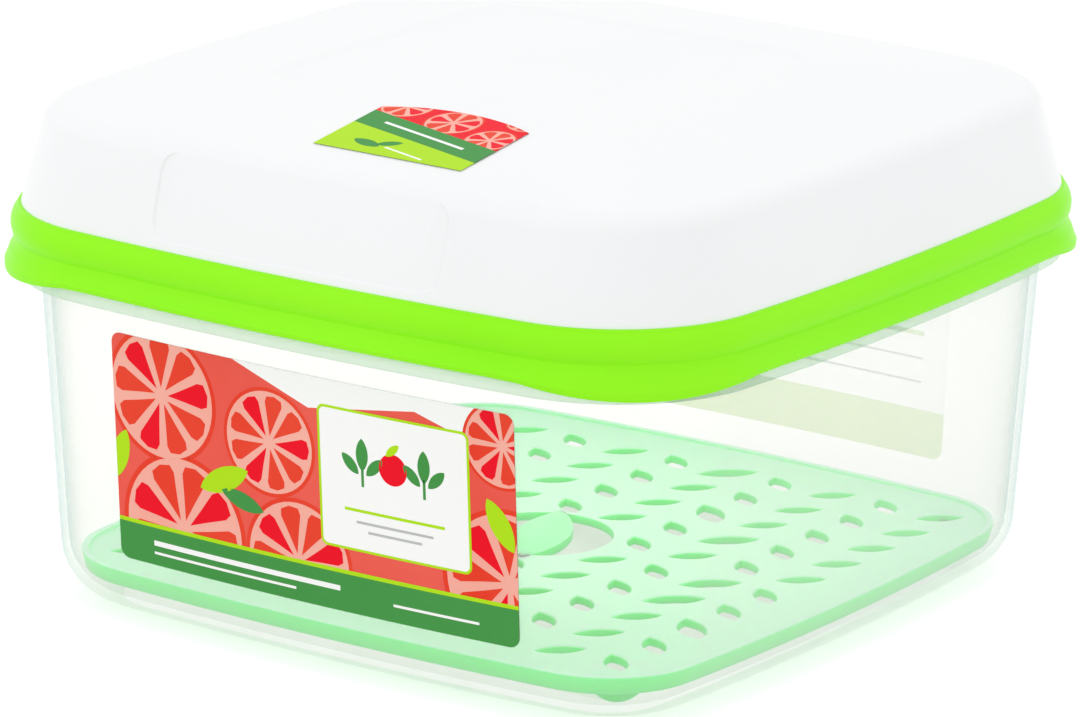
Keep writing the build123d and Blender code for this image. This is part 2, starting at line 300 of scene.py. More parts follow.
finishes = {
    "clear": clearPlastic("clearPlastic", (0.97, 0.89, 0.87), (0.22, 0.54, 0.55), 0.095, 0.88, 0.08),
    "rim": clearPlastic("clearRim", (0.76, 0.92, 0.77), (0.46, 0.74, 0.62), 0.42, 0.62, 0.12),
    "dome": mouldedPlastic("whiteDome", (0.865, 0.875, 0.885), (0.90, 0.91, 0.915), 0.34),
    "band": mouldedPlastic("limeBand", (0.27, 0.90, 0.008), (0.32, 0.94, 0.016), 0.36, shine=0.12),
    # the tray's deeper side green is painted light through the plastic, picked by which way each face turns
    "tray": mouldedPlastic(
        "mintTray", (0.51, 0.90, 0.61), (0.57, 0.93, 0.66), 0.40, paintedSideTone=(0.24, 0.98, 0.32), shine=0.2,
        subsurface=0.9, depth=0.006, spread=(0.5, 1.0, 0.6),
    ),
    # the grip's darker green is painted shade: the tray plastic, deepened for light passing through the thicker leaf
    "grip": mouldedPlastic(
        "mintGripPaintedDeeper", (0.31, 0.83, 0.41), (0.37, 0.87, 0.47), 0.40, paintedSideTone=(0.20, 0.94, 0.28), shine=0.2,
        subsurface=0.9, depth=0.006, spread=(0.5, 1.0, 0.6),
    ),
    "felt": mouldedPlastic("filterFelt", (0.80, 0.80, 0.77), (0.90, 0.90, 0.88), 0.9, peel=2500, peelDepth=0.0001),
}


def printedInk(name, colorA, colorB, cloud=25, glow=0.0, alpha=1.0):
    return mouldedPlastic(name, colorA, colorB, 0.34, cloud=cloud, peel=1500, glow=glow, shine=0.04, alpha=alpha)


inks = {
    "white": printedInk("inkWhite", (0.95, 0.95, 0.94), (0.98, 0.98, 0.97)),
    "clearFilm": clearPlastic("labelClearFilm", (0.97, 0.97, 0.94), (0.85, 0.92, 0.86), 0.03, 0.12, 0.15),
    "film": printedInk("labelFilm", (0.92, 0.93, 0.90), (0.95, 0.95, 0.93), glow=0.7),
    "red": printedInk("inkRed", (0.84, 0.004, 0.015), (0.90, 0.012, 0.03)),
    "coral": printedInk("inkCoral", (0.78, 0.030, 0.012), (0.88, 0.095, 0.05), cloud=35),
    "coralField": printedInk("inkCoralField", (0.80, 0.055, 0.035), (0.90, 0.17, 0.13)),
    "blush": printedInk("inkBlush", (0.93, 0.36, 0.28), (0.95, 0.52, 0.44), cloud=35),
    "lime": printedInk("inkLime", (0.42, 0.74, 0.01), (0.48, 0.79, 0.02)),
    "paleLime": printedInk("inkPaleLime", (0.56, 0.98, 0.02), (0.62, 0.99, 0.06), glow=0.17, alpha=0.03),
    "green": printedInk("inkGreen", (0.055, 0.28, 0.06), (0.075, 0.33, 0.08)),
    "grey": printedInk("inkGrey", (0.45, 0.47, 0.45), (0.55, 0.57, 0.55)),
    "paleGrey": printedInk("inkPaleGrey", (0.60, 0.64, 0.76), (0.66, 0.70, 0.82), glow=0.10, alpha=0.12),
}
print("materials ready")


tub = {
    "topHalf": 92.6, "baseHalf": 87.0, "height": 86.0, "wall": 1.8, "floor": 2.4,
    "baseRound": 14.0, "panelHalf": 64.0, "panelDepth": 0.8,
    "flangeHalf": 96.7, "flangeTop": 78.6, "flangeBottom": 75.4, "flangePlate": 1.6, "flangeLip": 1.4,
    "coreHalf": 62.5,
}


def tubHalf(height):
    return tub["baseHalf"] + (tub["topHalf"] - tub["baseHalf"]) * height / tub["height"]


flangeUnder = tub["flangeTop"] - tub["flangePlate"]
tubSection = roundedSection([
    (tub["coreHalf"], tub["panelDepth"], 0),
    (tub["panelHalf"], tub["panelDepth"], 0.3),
    (tub["panelHalf"] + 0.8, 0, 0.5),
    (tub["baseHalf"], 0, tub["baseRound"]),
    (tubHalf(flangeUnder), flangeUnder, 0.6),
    (tub["flangeHalf"] - tub["flangeLip"], flangeUnder, 0.5),
    (tub["flangeHalf"] - tub["flangeLip"], tub["flangeBottom"], 0.5),
    (tub["flangeHalf"], tub["flangeBottom"], 0.6),
    (tub["flangeHalf"], tub["flangeTop"], 0.9),
    (tubHalf(tub["flangeTop"]), tub["flangeTop"], 0.5),
    (tub["topHalf"], tub["height"], 0.5),
    (tub["topHalf"] - tub["wall"], tub["height"], 0.5),
    (tubHalf(tub["floor"]) - tub["wall"], tub["floor"], tub["baseRound"] - tub["wall"]),
    (tub["coreHalf"], tub["floor"], 0),
], steps=8)
tubPiece = ringShell("tub_clear", tubSection)
smooth(tubPiece)
dress(tubPiece, "tub", "clear_tub", "tub", finishes["clear"], finishes["rim"])
for face in tubPiece.data.polygons:  # the thick flange gets a second clear finish of its own, greener and denser than the wall's
    if (tub["flangeBottom"] - 0.2) * mm < face.center.z < (tub["flangeTop"] + 0.1) * mm:
        face.material_index = 1
print("tub built:", len(tubSection), "stations")


tray = {
    "half": 83.4, "draft": 1.0, "top": 11.2, "skirtBottom": 7.0, "plateTop": 10.5, "plate": 2.0, "wall": 1.8,
    "pitch": 14.6, "count": 10, "slot": (11.5, 5.2), "largeSlot": (14.6, 6.4),
    "large": [(5, 9), (6, 7), (7, 6), (8, 4), (8, 3), (9, 2)],  # column and row, and the same turned half round
    "edge": 0.3, "coreHalf": 62.5,
}
plateUnder = tray["plateTop"] - tray["plate"]
traySection = roundedSection([
    (tray["coreHalf"], plateUnder, 0),
    (tray["half"] - tray["draft"] - tray["wall"], plateUnder, 0.6),
    (tray["half"] - tray["draft"] - tray["wall"], tray["skirtBottom"], 0.4),
    (tray["half"] - tray["draft"], tray["skirtBottom"], 0.4),
    (tray["half"], tray["top"], 0.45),
    (tray["half"] - tray["wall"], tray["top"], 0.45),
    (tray["half"] - tray["wall"] - 0.2, tray["plateTop"], 0.5),
    (tray["coreHalf"], tray["plateTop"], 0),
], steps=4)
trayPiece = ringShell("drain_tray_body", traySection)


# one leaf-shaped cutter with a flared top edge: two crossed circle arcs, extruded down
def leafCutter(length, width, top, depth, flare, steps=14):
    deselectAll()
    bpy.ops.mesh.primitive_circle_add(vertices=2 * steps, radius=1)
    cutter = bpy.context.object
    bow = ((length / 2) ** 2 - (width / 2) ** 2) / width
    radius = bow + width / 2
    reach = math.asin(length / 2 / radius)
    for i, vert in enumerate(cutter.data.vertices):
        side, step = divmod(i, steps)
        angle = reach * (1 - 2 * step / steps)
        x, y = radius * math.sin(angle), radius * math.cos(angle) - bow
        vert.co = Vector((x, y, 0) if side == 0 else (-x, -y, 0)) * mm
    bpy.ops.object.mode_set(mode="EDIT")
    bpy.ops.mesh.select_all(action="SELECT")
    bpy.ops.mesh.edge_face_add()
    bpy.ops.transform.translate(value=(0, 0, (top - flare) * mm))
    bpy.ops.mesh.extrude_region_move(TRANSFORM_OT_translate={"value": (0, 0, flare * mm)})
    bpy.ops.transform.resize(value=((length + 2 * flare) / length, (width + 2 * flare) / width, 1))
    bpy.ops.mesh.extrude_region_move(TRANSFORM_OT_translate={"value": (0, 0, 1 * mm)})
    bpy.ops.mesh.select_all(action="DESELECT")
    shape = bmesh.from_edit_mesh(cutter.data)
    for face in shape.faces:
        if all(vert.co.z < (top - flare + 0.01) * mm for vert in face.verts):
            face.select_set(True)
    bpy.ops.mesh.extrude_region_move(TRANSFORM_OT_translate={"value": (0, 0, -(depth - flare) * mm)})
    bpy.ops.mesh.select_all(action="SELECT")
    bpy.ops.mesh.normals_make_consistent(inside=False)
    bpy.ops.object.mode_set(mode="OBJECT")
    return cutter


smallCutter = leafCutter(*tray["slot"], tray["plateTop"], tray["plate"] + 1, tray["edge"])
largeCutter = leafCutter(*tray["largeSlot"], tray["plateTop"], tray["plate"] + 1, tray["edge"])
last = tray["count"] - 1
cutters = []
for column in range(tray["count"]):
    for row in range(tray["count"]):
        x, y = (column - last / 2) * tray["pitch"], (row - last / 2) * tray["pitch"]
        if max(abs(x), abs(y)) < tray["pitch"]:
            continue
        isLarge = (column, row) in tray["large"] or (last - column, last - row) in tray["large"]
        source = largeCutter if isLarge else smallCutter
        cutter = source.copy()
        cutter.data = source.data.copy()
        bpy.context.collection.objects.link(cutter)
        lean = -45 if (column % 2 == 0) == (y > 0) else 45
        cutter.matrix_world = Matrix.Translation(Vector((x, y, 0)) * mm) @ Matrix.Rotation(math.radians(lean), 4, "Z")
        cutters.append(cutter)

grip = {"radius": 16.5, "leaf": (37.0, 13.0), "turn": 110.5, "rise": 1.6, "cut": 6.0}
deselectAll()
bpy.ops.mesh.primitive_cylinder_add(  # the round finger opening
    vertices=96, radius=grip["radius"] * mm, depth=grip["cut"] * mm,
    location=(0, 0, (tray["plateTop"] - tray["plate"] / 2) * mm),
)
slotCutter = joined(bpy.context.object, *cutters)
applyPlace(slotCutter)
cutAway(trayPiece, slotCutter)
for used in (smallCutter, largeCutter):
    bpy.data.objects.remove(used)
print("tray slotted:", len(trayPiece.data.polygons), "faces")


# leaf-shaped grip across the finger opening, roofed along its length
def leafGrip():
    deselectAll()
    bpy.ops.mesh.primitive_grid_add(x_subdivisions=32, y_subdivisions=8, size=2)
    leaf = bpy.context.object
    length, width = grip["leaf"]
    for vert in leaf.data.vertices:
        along, across = vert.co.x, vert.co.y
        edge = width / 2 * (1 - along ** 2) ** 0.92
        ridge = grip["rise"] * (1 - abs(across) ** 1.15) * (1 - along ** 4)
        vert.co = Vector((along * length / 2, across * edge, tray["plateTop"] + ridge)) * mm
    bpy.ops.object.mode_set(mode="EDIT")
    bpy.ops.mesh.select_all(action="SELECT")
    bpy.ops.mesh.remove_doubles(threshold=0.02 * mm)
    bpy.ops.mesh.extrude_region_move(TRANSFORM_OT_translate={"value": (0, 0, -tray["plate"] * mm)})
    bpy.ops.mesh.select_all(action="SELECT")
    bpy.ops.mesh.normals_make_consistent(inside=False)
    bpy.ops.object.mode_set(mode="OBJECT")
    leaf.rotation_euler.z = math.radians(grip["turn"])
    applyPlace(leaf)
    return leaf


foot = {"radius": 6.7, "thickness": 2.0, "place": 67.2, "bottom": 2.4, "sunk": 0.4, "edge": 0.35}


# a foot under each corner, cut off just inside the plate
def halfDiscFoot(turn):
    deselectAll()
    bpy.ops.mesh.primitive_cylinder_add(vertices=64, radius=foot["radius"] * mm, depth=foot["thickness"] * mm)
    disc = bpy.context.object
    bpy.ops.object.mode_set(mode="EDIT")
    bpy.ops.mesh.select_all(action="SELECT")
    bpy.ops.transform.rotate(value=math.pi / 2, orient_axis="X", center_override=(0, 0, 0))
    bpy.ops.transform.translate(value=(0, 0, (foot["bottom"] + foot["radius"]) * mm))
    bpy.ops.mesh.bisect(
        plane_co=(0, 0, (plateUnder + foot["sunk"]) * mm), plane_no=(0, 0, 1), clear_outer=True, use_fill=True
    )
    bpy.ops.object.mode_set(mode="OBJECT")
    applyModifier(
        disc, "BEVEL", width=foot["edge"] * mm, segments=2, limit_method="ANGLE", angle_limit=math.radians(50)
    )
    disc.matrix_world = Matrix.Rotation(turn, 4, "Z") @ Matrix.Translation((0, foot["place"] * math.sqrt(2) * mm, 0))
    applyPlace(disc)
    return disc


leafPart = leafGrip()
feet = [halfDiscFoot(math.radians(45 + 90 * k)) for k in range(4)]
leafPart.data.materials.append(finishes["grip"])  # the leaf is thicker, and its deeper green copy of the tray plastic is painted shade of light passing through it
for part in [trayPiece] + feet:
    part.data.materials.append(finishes["tray"])
joined(trayPiece, leafPart, *feet)
smooth(trayPiece, 30)
dress(trayPiece, "tray", "mint_tray", "drain_tray")
print("tray built")


band = {
    "plugInner": 88.6, "plugOuter": 90.1, "plugBottom": 82.6, "channel": 93.3, "rim": 86.0,
    "web": (94.4, 83.8), "lipInner": 98.0, "lipOuter": 99.6, "lipBottom": 79.4, "flare": (100.0, 80.4),
    "grooveLow": (98.5, 82.2), "groove": (97.8, 84.4), "bulge": (98.55, 87.8), "seam": 91.7, "top": 97.0,
    "pocket": 96.05, "ledge": 88.7, "tabDrop": 2.6, "tabHalfWidth": 27.0,
    "tabInner": 0.6, "tabTop": 1.2, "tabFull": 0.45, "tabFade": 1.65,
}


def arcThrough(start, middle, end, steps):
    (ax, ay), (bx, by), (cx, cy) = start, middle, end
    d = 2 * (ax * (by - cy) + bx * (cy - ay) + cx * (ay - by))
    ux = ((ax ** 2 + ay ** 2) * (by - cy) + (bx ** 2 + by ** 2) * (cy - ay) + (cx ** 2 + cy ** 2) * (ay - by)) / d
    uy = ((ax ** 2 + ay ** 2) * (cx - bx) + (bx ** 2 + by ** 2) * (ax - cx) + (cx ** 2 + cy ** 2) * (bx - ax)) / d
    middlePoint = Vector((ux, uy))
    first, last = Vector(start) - middlePoint, Vector(end) - middlePoint
    turn = first.angle_signed(last)
    return [tuple(middlePoint + Matrix.Rotation(-turn * k / steps, 2) @ first) for k in range(steps + 1)]


flareHalf, flareHeight = band["flare"]
inside = roundedSection([
    (flareHalf, flareHeight, 0),
    (band["lipOuter"] + 0.25, band["lipBottom"], 0.35),
    (band["lipInner"], band["lipBottom"], 0.5),
    (*band["web"], 0.8),
    (band["channel"], band["rim"], 0.3),
    (band["plugOuter"], band["rim"], 0.3),
    (band["plugOuter"], band["plugBottom"], 0.4),
    (band["plugInner"], band["plugBottom"], 0.4),
    (band["plugInner"], band["ledge"], 0.3),
    (band["pocket"], band["ledge"], 0),
    (band["pocket"], band["seam"], 0.2),
    (band["top"] - 0.1, band["seam"], 0.4),
    (band["top"], band["seam"] - 0.5, 0),
], steps=4)
upper = arcThrough((band["top"], band["seam"] - 0.5), band["bulge"], band["groove"], 14)
lower = arcThrough(band["groove"], band["grooveLow"], (flareHalf, flareHeight), 12)
bandSection = inside + upper[1:] + lower[1:]


# the lip drops in an arc at each corner, less and less from its edge up to the flare
def tabDips(place, station):
    half, height = bandSection[station]
    if half < band["lipInner"] - band["tabInner"] or height > flareHeight + band["tabTop"]:
        return 0
    point = planPoint(place, plan["half"]) / mm
    across = abs(abs(point.x) - abs(point.y)) / math.sqrt(2)
    share = max(0, 1 - (across / band["tabHalfWidth"]) ** 2)
    low = (flareHeight + band["tabTop"] - height) / band["tabFade"]
    if height <= band["lipBottom"] + band["tabFull"]:
        low = 1
    return band["tabDrop"] * share * max(0, min(1, low))


bandPiece = ringShell("lid_band_soft", bandSection, closed=True, dips=tabDips)
smooth(bandPiece, 35)
dress(bandPiece, "lid", "lime_band", "lid_band", finishes["band"])
print("band built:", len(bandSection), "stations")


film = {"glue": 0.08, "thickness": 0.15, "ink": 0.01, "inkRoot": 0.05, "strip": 4.0}


# points of the outline of a rectangle with round corners
def roundedRectangle(x, y, width, height, corner, steps=6):
    points = []
    for k, (sideX, sideY) in enumerate(((1, 1), (-1, 1), (-1, -1), (1, -1))):
        for step in range(steps + 1):
            angle = math.pi / 2 * (k + step / steps)
            points.append((
                x + sideX * (width / 2 - corner) + corner * math.cos(angle),
                y + sideY * (height / 2 - corner) + corner * math.sin(angle),
            ))
    return points


def disc(x, y, radius, steps=48):
    return [
        (x + radius * math.cos(2 * math.pi * k / steps), y + radius * math.sin(2 * math.pi * k / steps))
        for k in range(steps)
    ]


def leafShape(x, y, length, width, turn, steps=12):
    points = []
    for side in (1, -1):
        for k in range(steps):
            along = side * (0.5 - k / steps)
            across = side * width / 2 * (1 - (2 * along) ** 2) ** 0.8
            angle = math.radians(turn)
            points.append((
                x + length * along * math.cos(angle) - across * math.sin(angle),
                y + length * along * math.sin(angle) + across * math.cos(angle),
            ))
    return points


# keeps the part of a shape that lies inside a convex outline
def clipped(points, window):
    for k, (ax, ay) in enumerate(window):
        bx, by = window[(k + 1) % len(window)]
        kept = []
        inside = [(bx - ax) * (y - ay) - (by - ay) * (x - ax) >= -1e-9 for x, y in points]
        for i, here in enumerate(points):
            j = (i + 1) % len(points)
            if inside[i]:
                kept.append(here)
            if inside[i] != inside[j]:
                (px, py), (qx, qy) = here, points[j]
                top = (bx - ax) * (py - ay) - (by - ay) * (px - ax)
                bottom = top - ((bx - ax) * (qy - ay) - (by - ay) * (qx - ax))
                share = top / bottom
                kept.append((px + (qx - px) * share, py + (qy - py) * share))
        points = kept
        if not points:
            break
    return points


# a place on the drafted front wall, and off it by a little
def onFrontWall(x, z, off):
    half = tubHalf(z)
    bow = plan["bow"] - plan["half"] + half
    return Vector((x, -(math.sqrt(bow ** 2 - x ** 2) - bow + half + off), z)) * mm


def onBackWall(x, z, off):
    point = onFrontWall(x, z, off)
    return Vector((-point.x, -point.y, point.z))


def onCrown(x, y, off):
    sideMiddle = plan["bow"] - plan["half"]
    half = math.hypot(abs(y) + sideMiddle, x) - sideMiddle
    fall = (half - dome["crownHalf"]) * math.tan(math.radians(dome["crownSlope"]))
    return Vector((x, y, dome["crownHeight"] - fall + off)) * mm


# a flat outline is bisected into strips, laid on a surface and given its thickness there
def wrappedShape(points, surface, low, high, finish=None):
    deselectAll()
    bpy.ops.mesh.primitive_circle_add(vertices=len(points), radius=1)
    shape = bpy.context.object
    for vert, (x, y) in zip(shape.data.vertices, points):
        vert.co = (x, y, 0)
    bpy.ops.object.mode_set(mode="EDIT")
    bpy.ops.mesh.select_all(action="SELECT")
    bpy.ops.mesh.edge_face_add()
    left, right = min(p[0] for p in points), max(p[0] for p in points)
    for k in range(math.floor(left / film["strip"]) + 1, math.ceil(right / film["strip"])):
        bpy.ops.mesh.select_all(action="SELECT")
        bpy.ops.mesh.bisect(plane_co=(k * film["strip"], 0, 0), plane_no=(1, 0, 0))
    bpy.ops.mesh.select_all(action="SELECT")
    bpy.ops.mesh.extrude_region_move(TRANSFORM_OT_translate={"value": (0, 0, 1)})
    bpy.ops.object.mode_set(mode="OBJECT")
    for vert in shape.data.vertices:
        vert.co = surface(vert.co.x, vert.co.y, high if vert.co.z > 0.5 else low)
    shape.data.update()
    bpy.ops.object.mode_set(mode="EDIT")
    bpy.ops.mesh.select_all(action="SELECT")
    bpy.ops.mesh.normals_make_consistent(inside=False)
    bpy.ops.object.mode_set(mode="OBJECT")
    if finish:
        shape.data.materials.append(finish)
    return shape


dome = {
    "seamHalf": 96.2, "foot": 95.9, "draft": 15.2, "wall": 2.0, "shoulderRound": 6.0, "crownSlope": 7.5,
    "crownHalf": 48.5, "crownCorner": 14.0, "crownHeight": 119.8, "crownMiddle": 68.0,
    "recess": 0.9, "recessStep": 3.0, "coreHalf": 20.0,
    "panel": {"width": 77.8, "bottom": 93.0, "top": 113.6, "corner": 5.4, "depth": 0.45, "edge": 0.8},
}


def domeSection(inset):
    wallTan, crownTan = math.tan(math.radians(dome["draft"])), math.tan(math.radians(dome["crownSlope"]))
    foot = dome["seamHalf"] - inset / math.cos(math.radians(dome["draft"]))
    top = dome["crownHeight"] - inset / math.cos(math.radians(dome["crownSlope"]))
    rise = top - band["seam"] + dome["crownHalf"] * crownTan
    shoulder = (foot - rise * wallTan) / (1 - crownTan * wallTan)
    height = band["seam"] + (foot - shoulder) / wallTan
    return foot, top, shoulder, height


def crownCornerAt(half, shoulder):
    if half > shoulder:
        return None
    share = (shoulder - half) / (shoulder - dome["crownHalf"])
    return cornerAt(shoulder) + (dome["crownCorner"] - cornerAt(shoulder)) * min(1.0, share)


outFoot, outTop, shoulder, shoulderHeight = domeSection(0)
inFoot, inTop, inShoulder, inShoulderHeight = domeSection(dome["wall"])
recessFloor = dome["crownHeight"] - dome["recess"]
outerDome = roundedSection([
    (dome["foot"] - dome["wall"], band["ledge"], 0),
    (dome["foot"], band["ledge"], 0.3),
    (dome["foot"], band["seam"] - 0.3, 0),
    (outFoot, band["seam"], 0.3),
    (shoulder, shoulderHeight, dome["shoulderRound"]),
    (
        dome["crownMiddle"],
        outTop - (dome["crownMiddle"] - dome["crownHalf"]) * math.tan(math.radians(dome["crownSlope"])),
        0,
    ),
    (dome["crownHalf"], dome["crownHeight"], 2.0),
    (dome["crownHalf"] - dome["recessStep"], recessFloor, 3.0),
    (dome["coreHalf"], recessFloor, 0),
], steps=16)
innerDome = roundedSection([
    (dome["coreHalf"], inTop - dome["recess"], 0),
    (dome["crownHalf"], inTop - dome["recess"], 2.0),
    (inShoulder, inShoulderHeight, dome["shoulderRound"] - dome["wall"]),
    (inFoot, band["seam"], 0),
    (dome["foot"] - dome["wall"], band["ledge"], 0),
], steps=12)
domePiece = ringShell("lid_dome_shell", outerDome, corners=[crownCornerAt(half, shoulder) for half, _ in outerDome])
hollow = ringShell(
    "dome_hollow",
    innerDome[:-1] + [(inFoot - 0.2, band["ledge"] - 1)],
    corners=[crownCornerAt(half, inShoulder) for half, _ in innerDome[:-1]] + [None],
)
cutAway(domePiece, hollow)


# the front slope, with the foot of a cutter drawn in so that the panel's edges are sloped
def onDomeFront(x, z, off):
    lean = math.radians(dome["draft"])
    if off < 0:
        middle = (dome["panel"]["bottom"] + dome["panel"]["top"]) / 2
        x *= 1 - 2 * dome["panel"]["edge"] / dome["panel"]["width"]
        z = middle + (z - middle) * (1 - 2 * dome["panel"]["edge"] / (dome["panel"]["top"] - dome["panel"]["bottom"]))
    half = dome["seamHalf"] - (z - band["seam"]) * math.tan(lean) + off / math.cos(lean)
    bow = plan["bow"] - plan["half"] + half
    return Vector((x, -(math.sqrt(bow ** 2 - x ** 2) - bow + half), z)) * mm


panel = dome["panel"]
panelOutline = roundedRectangle(
    0, (panel["bottom"] + panel["top"]) / 2, panel["width"], panel["top"] - panel["bottom"], panel["corner"]
)
panelCutter = wrappedShape(panelOutline, onDomeFront, -panel["depth"], panel["depth"])
cutAway(domePiece, panelCutter)

# nine vent holes under the lid label
vent = {"x": 12.0, "y": -62.5, "z": 117.0, "pitch": 4.0, "radius": 0.8, "drill": 12.0}
drills = []
for column in (-1, 0, 1):
    for row in (-1, 0, 1):
        deselectAll()
        bpy.ops.mesh.primitive_cylinder_add(
            vertices=20, radius=vent["radius"] * mm, depth=vent["drill"] * mm,
            location=Vector((vent["x"] + column * vent["pitch"], vent["y"] + row * vent["pitch"], vent["z"])) * mm,
        )
        drills.append(bpy.context.object)
drill = joined(*drills)
applyPlace(drill)
cutAway(domePiece, drill)
smooth(domePiece, 25)
dress(domePiece, "lid", "white_dome", "lid_dome", finishes["dome"])
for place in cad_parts["vent_filter"].material_slots:  # the felt disc under the vent keeps its solid
    place.material = finishes["felt"]
print("dome built")


def printedLabel(name, surface, base, layers, backing="film", bothSides=False):
    bottom, top = film["glue"], film["glue"] + film["thickness"]
    shapes = [wrappedShape(base, surface, bottom, top, inks[backing])]
    for level, ink, points in layers:
        kept = clipped(points, base)
        if len(kept) > 2:
            under = bottom - film["ink"] * level if bothSides else top - film["inkRoot"]
            shapes.append(wrappedShape(kept, surface, under, top + film["ink"] * level, inks[ink]))
    label = joined(*shapes)
    label.name = label.data.name = name
    smooth(label, 30)
    return label


# a sliced citrus wheel: rim, pith and wedges
def citrusWheel(x, y, radius, turn, level, wedges=9):
    shapes = [(level, "coral", disc(x, y, radius)), (level + 1, "blush", disc(x, y, radius * 0.93))]
    for k in range(wedges):
        middle = math.radians(turn + 360 * k / wedges)
        spread = math.pi / wedges
        points = []
        for along, across in (
            (0.12, 0), (0.42, -0.72), (0.74, -0.80), (0.84, -0.62),
            (0.87, 0), (0.84, 0.62), (0.74, 0.80), (0.42, 0.72),
        ):
            angle = middle + spread * across * (0.9 if along > 0.5 else 0.82)
            points.append((x + radius * along * math.cos(angle), y + radius * along * math.sin(angle)))
        shapes.append((level + 2, "red" if k % 3 == 0 else "coral", points))
    return shapes


def bar(x, y, length, width):
    return [(x, y), (x + length, y), (x + length, y + width), (x, y + width)]


def leafSprig(x, y, length, level, ink):
    return [
        (level, ink, leafShape(x, y + length * 0.62, length, length * 0.42, 90)),
        (level, ink, leafShape(x - length * 0.42, y + length * 0.30, length * 0.8, length * 0.34, 135)),
        (level, ink, leafShape(x + length * 0.42, y + length * 0.30, length * 0.8, length * 0.34, 45)),
        (level, ink, bar(x - 0.35, y - length * 0.35, 0.7, length * 0.6)),
    ]


# front label: citrus wheels on coral over a green foot, and a white card with two sprigs
frontLabel = {
    "x": 1.0, "z": 43.1, "width": 108.0, "height": 52.6, "corner": 2.5,
    "card": (24.0, 47.5, 38.0, 31.0),
    "wheels": (
        (-39, 57, 15.5, 10), (-34, 27, 17.5, 35), (-9, 52, 12.5, 0),
        (-2, 26, 14.5, 20), (52, 62, 10, 0), (53, 31, 17, 12),
    ),
}
cx, cz = frontLabel["x"], frontLabel["z"]
cardX, cardZ, cardWidth, cardHeight = frontLabel["card"]
frontBase = roundedRectangle(cx, cz, frontLabel["width"], frontLabel["height"], frontLabel["corner"])
frontLayers = [(1, "coralField", frontBase)]
frontLayers += [(1.3, "white", [(-20, 70), (2, 62), (30, 66), (56, 58), (56, 72), (-20, 72)])]
for x, z, radius, turn in frontLabel["wheels"]:
    frontLayers += citrusWheel(x, z, radius, turn, 2)
frontLayers += [
    (5, "lime", leafShape(-22, 41, 15, 5.5, 25)),
    (5, "green", leafShape(-17, 37, 12, 4, -15)),
    (5, "lime", leafShape(-52, 41, 13, 5, 70)),
    (5, "lime", leafShape(51, 44, 13, 5, 120)),
    (6, "lime", roundedRectangle(cardX, cardZ, cardWidth + 1.2, cardHeight + 1.2, 1.8)),
    (7, "white", roundedRectangle(cardX, cardZ, cardWidth, cardHeight, 1.3)),
    (8, "lime", bar(cardX - 13, cardZ - 7.0, 26, 0.7)),
    (8, "grey", bar(cardX - 10, cardZ - 9.6, 20, 0.6)),
    (8, "grey", bar(cardX - 7, cardZ - 11.6, 14, 0.6)),
    (6, "green", bar(cx - 56, 16, 112, 9.6)),
    (7, "lime", bar(cx - 56, 25.6, 112, 0.9)),
    (7, "white", bar(cx - 44, 21.4, 52, 1.2)),
    (7, "white", bar(cx - 44, 19.4, 40, 0.6)),
    (7, "white", bar(cx + 22, 20.4, 22, 0.6)),
]
frontLayers += leafSprig(cardX - 8, cardZ + 1.6, 7.5, 8, "green") + leafSprig(cardX + 8, cardZ + 1.6, 7.5, 8, "green")
frontLayers += [(8, "red", disc(cardX, cardZ + 4.2, 3.6)), (9, "lime", leafShape(cardX, cardZ + 8.6, 4.5, 1.8, 40))]
frontLabelPiece = printedLabel("front_label_print", onFrontWall, frontBase, frontLayers)
dress(frontLabelPiece, "tub", "front_print", "front_label")

# back label: clear film with a lime foot and rows of plain rules, which also show from inside
backLabel = {
    "width": 106.0, "height": 52.6, "corner": 2.5,
    "rules": ((-46, 60), (-46, 84), (-46, 78), (-46, 52), (-46, 88), (-46, 70)), "rulePitch": 5.6,
}
backBase = roundedRectangle(0, cz, backLabel["width"], backLabel["height"], backLabel["corner"])
backLayers = [(1, "paleLime", roundedRectangle(0, cz - 20.8, backLabel["width"], 11, 0.4))]
for k, (left, length) in enumerate(backLabel["rules"]):
    ink, width = ("paleLime", 1.1) if k % 3 == 0 else ("paleGrey", 0.5)
    backLayers.append((1, ink, bar(left, cz + 19 - backLabel["rulePitch"] * k, length, width)))
backLabelPiece = printedLabel("back_label_print", onBackWall, backBase, backLayers, "clearFilm", bothSides=True)
dress(backLabelPiece, "tub", "back_print", "back_label")

# lid label: coral wheels on one side of a slanted green strip, lime on the other
lidLabel = {"x": vent["x"], "y": vent["y"], "width": 39.0, "length": 29.0, "arch": 4.0, "slant": -14}
lx, ly = lidLabel["x"], lidLabel["y"]
side, front, back = lidLabel["width"] / 2, ly - lidLabel["length"] / 2, ly + lidLabel["length"] / 2
archRadius = (side ** 2 + lidLabel["arch"] ** 2) / 2 / lidLabel["arch"]
archReach = math.asin(side / archRadius)
lidBase = [(lx - side, front), (lx + side, front)] + [
    (lx + archRadius * math.sin(archReach * k / 12), back - archRadius + archRadius * math.cos(archReach * k / 12))
    for k in range(12, -13, -1)
]
slant = math.radians(lidLabel["slant"])


# a bar laid along the label's slanted dividing line, by its distance along and across it
def slantedBar(along, across, length, width):
    return [
        (lx + u * math.cos(slant) - v * math.sin(slant), ly + u * math.sin(slant) + v * math.cos(slant))
        for u, v in bar(along, across, length, width)
    ]


